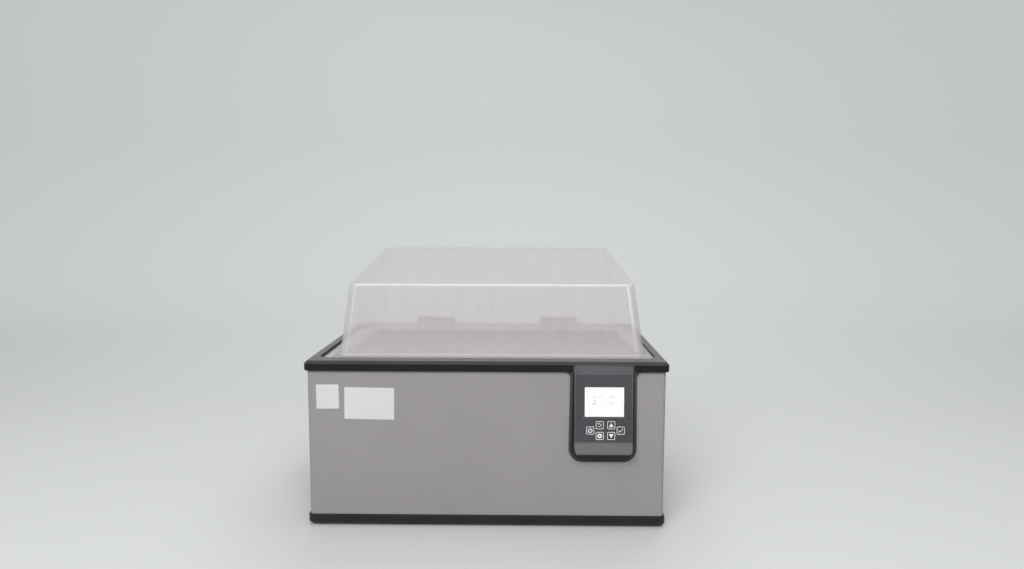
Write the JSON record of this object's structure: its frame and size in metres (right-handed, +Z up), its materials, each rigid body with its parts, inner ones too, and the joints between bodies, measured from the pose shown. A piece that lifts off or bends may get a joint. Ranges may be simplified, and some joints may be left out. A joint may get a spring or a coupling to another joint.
{
  "type": "circulating water bath",
  "caption": "Bench water bath with a heated, stirred steel tank, a hinged clear dome cover and a control pod on the front of its rim.",
  "frame": {"origin": "bench level, at the centre of the whole object's outline seen from above", "axes": "+Z up, -Y towards the user at the control pod, +X to the user's right along the long side"},
  "size_m": [0.562, 0.423, 0.4218],
  "materials": {
    "rim_plastic": "fine moulded texture, dark grey",
    "shell_paint": "mid grey powder coat",
    "base_plastic": "moulded, near black",
    "foot_rubber": "moulded rubber",
    "tank_steel": "satin stainless",
    "fastener_steel": "plated steel",
    "clear_cover": "clear polycarbonate with a faint haze",
    "overlay_dark": "smooth dark overlay",
    "window_clear": "clear pane",
    "display_pale": "backlit display",
    "key_plastic": "moulded keys",
    "board_green": "lacquered circuit board",
    "seal_rubber": "silicone seal",
    "foam": "closed-cell foam",
    "motor_paint": "black enamel",
    "magnet_metal": "sintered magnet in its holder",
    "impeller_plastic": "white engineering plastic",
    "heater_steel": "heat-tinted steel tube",
    "valve_brass": "plain brass",
    "lever_red": "dipped lever",
    "fitting_black": "moulded electrical fittings",
    "core_iron": "varnished laminations",
    "sink_aluminium": "extruded fins"
  },
  "bodies": {
    "case": {"axle_clip": "fastener_steel", "base_tray": "base_plastic", "bath_tank": "tank_steel", "case_wrap": "shell_paint", "control_board": "board_green", "display_bezel": "overlay_dark", "display_window": "window_clear", "drain_nut": "valve_brass", "drain_pipe": "valve_brass", "drain_valve": "valve_brass", "foot_front_left": "foot_rubber", "foot_front_right": "foot_rubber", "foot_rear_left": "foot_rubber", "foot_rear_right": "foot_rubber", "fuse_holder": "fitting_black", "heat_sink": "sink_aluminium", "heater_element": "heater_steel", "heater_glands": "fastener_steel", "hinge_block_left": "rim_plastic", "hinge_block_right": "rim_plastic", "hinge_pin_left": "fastener_steel", "hinge_pin_right": "fastener_steel", "hinge_screws": "fastener_steel", "inlet_pins": "fastener_steel", "keypad_plate": "overlay_dark", "lcd_module": "display_pale", "limiter": "fitting_black", "motor_bracket": "tank_steel", "power_inlet": "fitting_black", "probe_gland": "fastener_steel", "pump_axle": "fastener_steel", "pump_guard": "tank_steel", "pump_motor": "motor_paint", "rear_panel": "shell_paint", "rear_panel_screws": "fastener_steel", "standoffs": "fastener_steel", "supply_board": "board_green", "switch_body": "fitting_black", "tank_gasket": "seal_rubber", "tank_insulation": "foam", "temperature_probe": "fastener_steel", "tie_rods": "fastener_steel", "top_frame": "rim_plastic", "transformer": "core_iron"},
    "cover": {"dome_cover": "clear_cover", "hinge_leaf_left": "fitting_black", "hinge_leaf_right": "fitting_black"},
    "pump_rotor": {"motor_shaft": "fastener_steel", "drive_magnet": "magnet_metal"},
    "pump_impeller": {"impeller": "impeller_plastic"},
    "tray": {"diffuser_tray": "tank_steel"},
    "drain_lever": {"drain_handle": "lever_red"},
    "rocker": {"power_rocker": "fitting_black"},
    "dial": {"safety_dial": "fitting_black"},
    "key_power_cap": {"key_power": "key_plastic"},
    "key_return_cap": {"key_return": "key_plastic"},
    "key_settings_cap": {"key_settings": "key_plastic"},
    "key_up_cap": {"key_up": "key_plastic"},
    "key_down_cap": {"key_down": "key_plastic"},
    "key_confirm_cap": {"key_confirm": "key_plastic"}
  },
  "joints": [
    {"name": "lid_hinge", "type": "hinge", "parent": "case", "child": "cover", "pos_m": [0, 0.17, 0.272], "axis": [-1, 0, 0], "range_deg": [0, 100]},
    {"name": "motor_spin", "type": "hinge", "parent": "case", "child": "pump_rotor", "pos_m": [-0.125, -0.005, 0.108], "axis": [0, 0, 1], "continuous": true},
    {"name": "impeller_spin", "type": "hinge", "parent": "case", "child": "pump_impeller", "pos_m": [-0.125, -0.005, 0.109], "axis": [0, 0, 1], "continuous": true},
    {"name": "tray_lift", "type": "slide", "parent": "case", "child": "tray", "axis": [0, 0, 1], "range_m": [0, 0.11]},
    {"name": "drain_turn", "type": "hinge", "parent": "case", "child": "drain_lever", "pos_m": [-0.19, 0.2008, 0.084], "axis": [0, -1, 0], "range_deg": [0, 90]},
    {"name": "rocker_tilt", "type": "hinge", "parent": "case", "child": "rocker", "pos_m": [0.108, 0.1853, 0.062], "axis": [-1, 0, 0], "range_deg": [0, 18]},
    {"name": "dial_turn", "type": "hinge", "parent": "case", "child": "dial", "pos_m": [0.06, 0.1893, 0.062], "axis": [0, -1, 0], "range_deg": [0, 270]},
    {"name": "key_power_press", "type": "slide", "parent": "case", "child": "key_power_cap", "axis": [0, 0.9965, -0.0837], "range_m": [0, 0.0006], "stiffness_N_per_m": 400},
    {"name": "key_return_press", "type": "slide", "parent": "case", "child": "key_return_cap", "axis": [0, 0.9965, -0.0837], "range_m": [0, 0.0006], "stiffness_N_per_m": 400},
    {"name": "key_settings_press", "type": "slide", "parent": "case", "child": "key_settings_cap", "axis": [0, 0.9965, -0.0837], "range_m": [0, 0.0006], "stiffness_N_per_m": 400},
    {"name": "key_up_press", "type": "slide", "parent": "case", "child": "key_up_cap", "axis": [0, 0.9965, -0.0837], "range_m": [0, 0.0006], "stiffness_N_per_m": 400},
    {"name": "key_down_press", "type": "slide", "parent": "case", "child": "key_down_cap", "axis": [0, 0.9965, -0.0837], "range_m": [0, 0.0006], "stiffness_N_per_m": 400},
    {"name": "key_confirm_press", "type": "slide", "parent": "case", "child": "key_confirm_cap", "axis": [0, 0.9965, -0.0837], "range_m": [0, 0.0006], "stiffness_N_per_m": 400}
  ],
  "couplings": [
    {"joint": "impeller_spin", "follows": "motor_spin", "ratio": 1}
  ]
}
